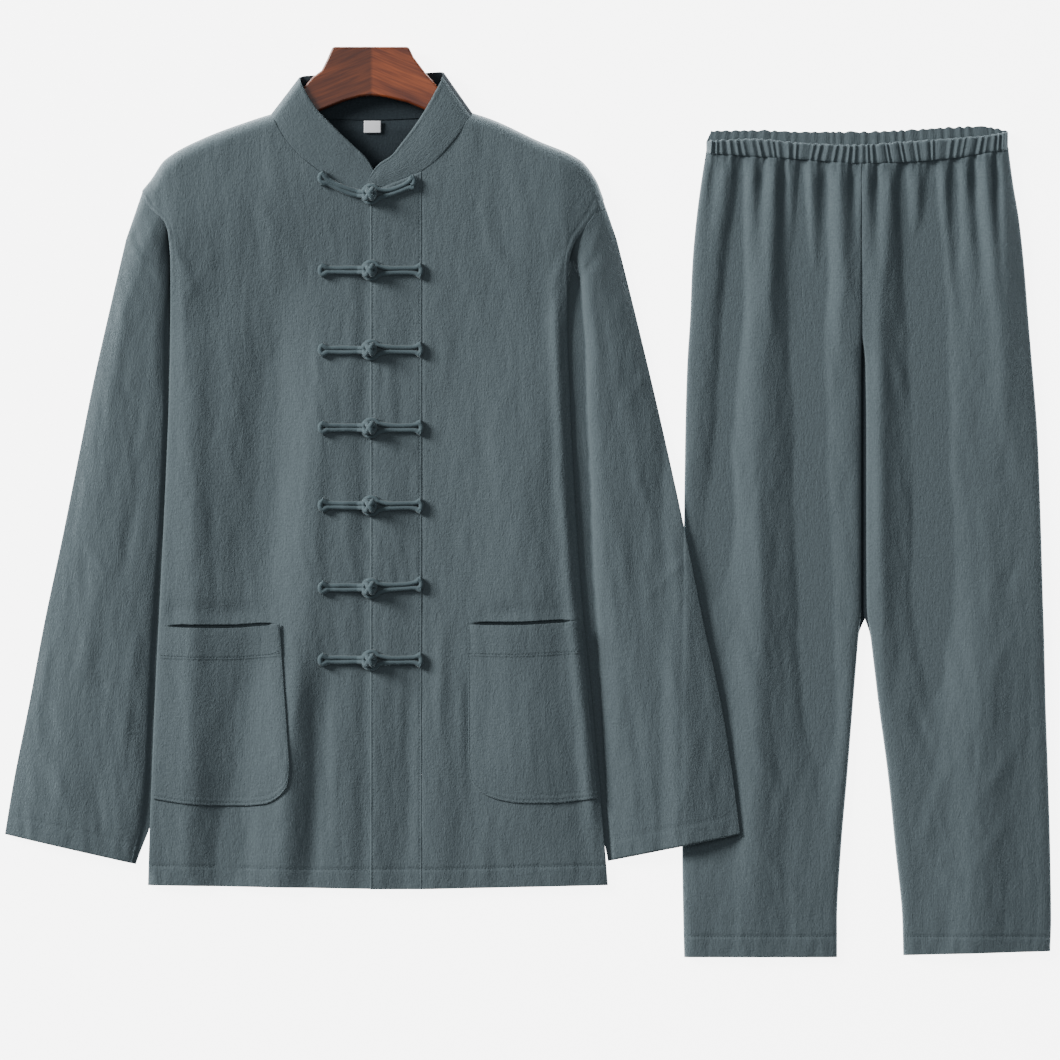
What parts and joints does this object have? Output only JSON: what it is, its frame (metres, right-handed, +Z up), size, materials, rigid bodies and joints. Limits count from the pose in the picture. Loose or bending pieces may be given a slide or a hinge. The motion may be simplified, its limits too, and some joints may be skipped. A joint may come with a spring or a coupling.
{
  "type": "tai chi uniform laid flat with a wooden hanger",
  "caption": "Loose stand-collar jacket with knotted frog fastenings and patch pockets, laid flat over a wooden hanger, beside elastic-waist trousers.",
  "frame": {"origin": "centre of the set's bounding box, on the surface that it lies on", "axes": "+X across the picture to the right, from the jacket to the trousers; +Y up the picture, towards the collar; +Z up from the surface"},
  "size_m": [1.0458, 0.9096, 0.0299],
  "materials": {
    "cloth": "matt slub linen-cotton with a fine crepe crinkle",
    "cloth_inner": "matt linen-cotton, wrong side and backs",
    "frog_cord": "matt rolled cloth cord",
    "label": "smooth woven tape, blank",
    "wood": "satin varnish, red-brown"
  },
  "bodies": {
    "root": {"jacket_back": "cloth_inner", "jacket_front_right": "cloth", "jacket_front_left": "cloth", "jacket_placket": "cloth", "jacket_collar": "cloth", "sleeve_right": "cloth", "sleeve_left": "cloth", "pocket_right": "cloth", "pocket_left": "cloth", "neck_label": "label", "trousers_front_right": "cloth", "trousers_front_left": "cloth", "trousers_back_right": "cloth_inner", "trousers_back_left": "cloth_inner", "trousers_waistband": "cloth", "frog_knot_1": "frog_cord", "frog_loop_1": "frog_cord", "frog_knot_2": "frog_cord", "frog_loop_2": "frog_cord", "frog_knot_3": "frog_cord", "frog_loop_3": "frog_cord", "frog_knot_4": "frog_cord", "frog_loop_4": "frog_cord", "frog_knot_5": "frog_cord", "frog_loop_5": "frog_cord", "frog_knot_6": "frog_cord", "frog_loop_6": "frog_cord", "frog_knot_7": "frog_cord", "frog_loop_7": "frog_cord", "hanger": "wood"}
  },
  "joints": []
}
